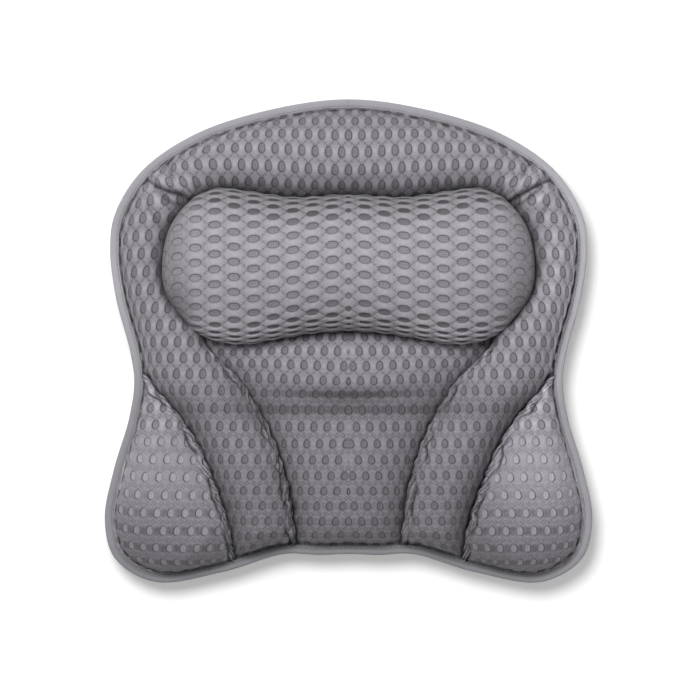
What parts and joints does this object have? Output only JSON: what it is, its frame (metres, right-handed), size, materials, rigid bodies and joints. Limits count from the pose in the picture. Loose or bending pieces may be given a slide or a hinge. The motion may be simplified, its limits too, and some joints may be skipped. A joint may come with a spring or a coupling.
{
  "type": "bath pillow",
  "caption": "Padded bathtub headrest of spacer mesh cloth, with a raised neck bolster on an arched base pad with shoulder pads, and suction cups on folding webbing tabs behind it.",
  "frame": {"origin": "centre of the pillow's outline, on the plane of the suction cups' rims", "axes": "+X to the right across the pillow as it is looked at, +Y to the head end, +Z out of the padded face"},
  "size_m": [0.3892, 0.3858, 0.0937],
  "materials": {
    "mesh_cloth": "matt knitted spacer mesh with oval holes",
    "binding_tape": "matt woven tape",
    "webbing": "matt woven webbing",
    "foam": "matt open foam and fibre",
    "clear_vinyl": "glossy translucent"
  },
  "bodies": {
    "pillow": {"back_panel": "mesh_cloth", "edge_binding": "binding_tape", "arch_cover": "mesh_cloth", "arch_filling": "foam", "centre_cover": "mesh_cloth", "centre_filling": "foam", "shoulder_left_cover": "mesh_cloth", "shoulder_left_filling": "foam", "shoulder_right_cover": "mesh_cloth", "shoulder_right_filling": "foam", "seat_panel": "mesh_cloth", "seat_filling": "foam", "bolster_cover": "mesh_cloth", "bolster_filling": "foam", "tab_anchor_1": "webbing", "tab_anchor_2": "webbing", "tab_anchor_3": "webbing", "tab_anchor_4": "webbing", "tab_anchor_5": "webbing", "tab_anchor_6": "webbing", "tab_anchor_7": "webbing"},
    "tab_1": {"cup_tab_1": "webbing"},
    "cup_1": {"suction_cup_1": "clear_vinyl"},
    "tab_2": {"cup_tab_2": "webbing"},
    "cup_2": {"suction_cup_2": "clear_vinyl"},
    "tab_3": {"cup_tab_3": "webbing"},
    "cup_3": {"suction_cup_3": "clear_vinyl"},
    "tab_4": {"cup_tab_4": "webbing"},
    "cup_4": {"suction_cup_4": "clear_vinyl"},
    "tab_5": {"cup_tab_5": "webbing"},
    "cup_5": {"suction_cup_5": "clear_vinyl"},
    "tab_6": {"cup_tab_6": "webbing"},
    "cup_6": {"suction_cup_6": "clear_vinyl"},
    "tab_7": {"cup_tab_7": "webbing"},
    "cup_7": {"suction_cup_7": "clear_vinyl"}
  },
  "joints": [
    {"name": "tab_flap_1", "type": "hinge", "parent": "pillow", "child": "tab_1", "pos_m": [-0.09555, 0.14473, 0.01995], "axis": [1, 0, 0], "range_deg": [0, 60]},
    {"name": "cup_spin_1", "type": "hinge", "parent": "tab_1", "child": "cup_1", "pos_m": [-0.09555, 0.11773, 0], "axis": [0, 0, 1], "continuous": true},
    {"name": "tab_flap_2", "type": "hinge", "parent": "pillow", "child": "tab_2", "pos_m": [0.09555, 0.14473, 0.01995], "axis": [1, 0, 0], "range_deg": [0, 60]},
    {"name": "cup_spin_2", "type": "hinge", "parent": "tab_2", "child": "cup_2", "pos_m": [0.09555, 0.11773, 0], "axis": [0, 0, 1], "continuous": true},
    {"name": "tab_flap_3", "type": "hinge", "parent": "pillow", "child": "tab_3", "pos_m": [-0.1287, 0.03472, 0.01995], "axis": [1, 0, 0], "range_deg": [0, 60]},
    {"name": "cup_spin_3", "type": "hinge", "parent": "tab_3", "child": "cup_3", "pos_m": [-0.1287, 0.00772, 0], "axis": [0, 0, 1], "continuous": true},
    {"name": "tab_flap_4", "type": "hinge", "parent": "pillow", "child": "tab_4", "pos_m": [0, 0.0463, 0.01995], "axis": [1, 0, 0], "range_deg": [0, 60]},
    {"name": "cup_spin_4", "type": "hinge", "parent": "tab_4", "child": "cup_4", "pos_m": [0, 0.0193, 0], "axis": [0, 0, 1], "continuous": true},
    {"name": "tab_flap_5", "type": "hinge", "parent": "pillow", "child": "tab_5", "pos_m": [0.1287, 0.03472, 0.01995], "axis": [1, 0, 0], "range_deg": [0, 60]},
    {"name": "cup_spin_5", "type": "hinge", "parent": "tab_5", "child": "cup_5", "pos_m": [0.1287, 0.00772, 0], "axis": [0, 0, 1], "continuous": true},
    {"name": "tab_flap_6", "type": "hinge", "parent": "pillow", "child": "tab_6", "pos_m": [-0.1404, -0.1081, 0.01995], "axis": [1, 0, 0], "range_deg": [0, 60]},
    {"name": "cup_spin_6", "type": "hinge", "parent": "tab_6", "child": "cup_6", "pos_m": [-0.1404, -0.1351, 0], "axis": [0, 0, 1], "continuous": true},
    {"name": "tab_flap_7", "type": "hinge", "parent": "pillow", "child": "tab_7", "pos_m": [0.1404, -0.1081, 0.01995], "axis": [1, 0, 0], "range_deg": [0, 60]},
    {"name": "cup_spin_7", "type": "hinge", "parent": "tab_7", "child": "cup_7", "pos_m": [0.1404, -0.1351, 0], "axis": [0, 0, 1], "continuous": true}
  ]
}
